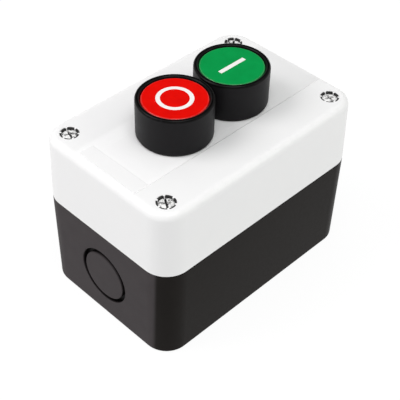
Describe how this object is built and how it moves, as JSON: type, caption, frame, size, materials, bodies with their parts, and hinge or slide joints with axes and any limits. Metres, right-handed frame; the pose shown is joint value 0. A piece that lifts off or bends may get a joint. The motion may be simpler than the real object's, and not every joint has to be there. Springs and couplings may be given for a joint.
{
  "type": "push button control station",
  "caption": "Surface-mounted control station with flush red stop and green start push buttons in tall round bezels on a grey-white cover over a charcoal base.",
  "frame": {"origin": "centre of the base's back face, the face that lies on the wall or the table", "axes": "+Z out through the buttons, +Y towards the start button (up on a wall), +X to the right"},
  "size_m": [0.07, 0.106, 0.0878],
  "materials": {
    "cover_plastic": "satin",
    "base_plastic": "satin",
    "bezel_plastic": "satin",
    "stop_red": "satin gloss",
    "start_green": "satin gloss",
    "mark_white": "satin",
    "gasket_rubber": "matte",
    "screw_zinc": "zinc plated",
    "collar_zinc": "die cast, matte",
    "spring_steel": "drawn wire",
    "contact_brass": "satin",
    "pusher_plastic": "satin",
    "block_plastic": "satin"
  },
  "bodies": {
    "root": {"base": "base_plastic", "cover": "cover_plastic", "cover_gasket": "gasket_rubber", "cover_screws": "screw_zinc", "label_plate": "cover_plastic", "start_bezel": "bezel_plastic", "start_collar_screw": "screw_zinc", "start_contact_housing": "block_plastic", "start_contact_side_cover": "block_plastic", "start_contact_spring": "spring_steel", "start_fixed_contacts": "contact_brass", "start_fixing_collar": "collar_zinc", "start_lip_seal": "gasket_rubber", "start_panel_gasket": "gasket_rubber", "start_return_spring": "spring_steel", "start_terminal_clamps": "screw_zinc", "start_terminal_screws": "screw_zinc", "stop_bezel": "bezel_plastic", "stop_collar_screw": "screw_zinc", "stop_contact_housing": "block_plastic", "stop_contact_side_cover": "block_plastic", "stop_contact_spring": "spring_steel", "stop_fixed_contacts": "contact_brass", "stop_fixing_collar": "collar_zinc", "stop_lip_seal": "gasket_rubber", "stop_panel_gasket": "gasket_rubber", "stop_return_spring": "spring_steel", "stop_terminal_clamps": "screw_zinc", "stop_terminal_screws": "screw_zinc"},
    "stop_button": {"stop_cap": "stop_red", "stop_legend": "mark_white", "stop_pusher": "pusher_plastic"},
    "stop_carrier": {"stop_contact_carrier": "pusher_plastic"},
    "stop_bridge": {"stop_contact_bridge": "contact_brass"},
    "start_button": {"start_cap": "start_green", "start_legend": "mark_white", "start_pusher": "pusher_plastic"},
    "start_carrier": {"start_contact_carrier": "pusher_plastic"},
    "start_bridge": {"start_contact_bridge": "contact_brass"}
  },
  "joints": [
    {"name": "stop_press", "type": "slide", "parent": "root", "child": "stop_button", "axis": [0, 0, -1], "range_m": [0, 0.004], "stiffness_N_per_m": 800, "springref_m": -0.004, "deforming": ["stop_return_spring"]},
    {"name": "stop_carrier_slide", "type": "slide", "parent": "root", "child": "stop_carrier", "axis": [0, 0, -1], "range_m": [0, 0.004], "deforming": ["stop_contact_spring"]},
    {"name": "stop_bridge_slide", "type": "slide", "parent": "root", "child": "stop_bridge", "axis": [0, 0, -1], "range_m": [0, 0.003]},
    {"name": "start_press", "type": "slide", "parent": "root", "child": "start_button", "axis": [0, 0, -1], "range_m": [0, 0.004], "stiffness_N_per_m": 800, "springref_m": -0.004, "deforming": ["start_return_spring"]},
    {"name": "start_carrier_slide", "type": "slide", "parent": "root", "child": "start_carrier", "axis": [0, 0, -1], "range_m": [0, 0.004], "deforming": ["start_contact_spring"]},
    {"name": "start_bridge_slide", "type": "slide", "parent": "root", "child": "start_bridge", "axis": [0, 0, -1], "range_m": [0, 0.0025]}
  ],
  "couplings": [
    {"joint": "stop_carrier_slide", "follows": "stop_press", "ratio": 1},
    {"joint": "stop_bridge_slide", "follows": "stop_press", "ratio": 0.75},
    {"joint": "start_carrier_slide", "follows": "start_press", "ratio": 1},
    {"joint": "start_bridge_slide", "follows": "start_press", "ratio": 0.625}
  ]
}
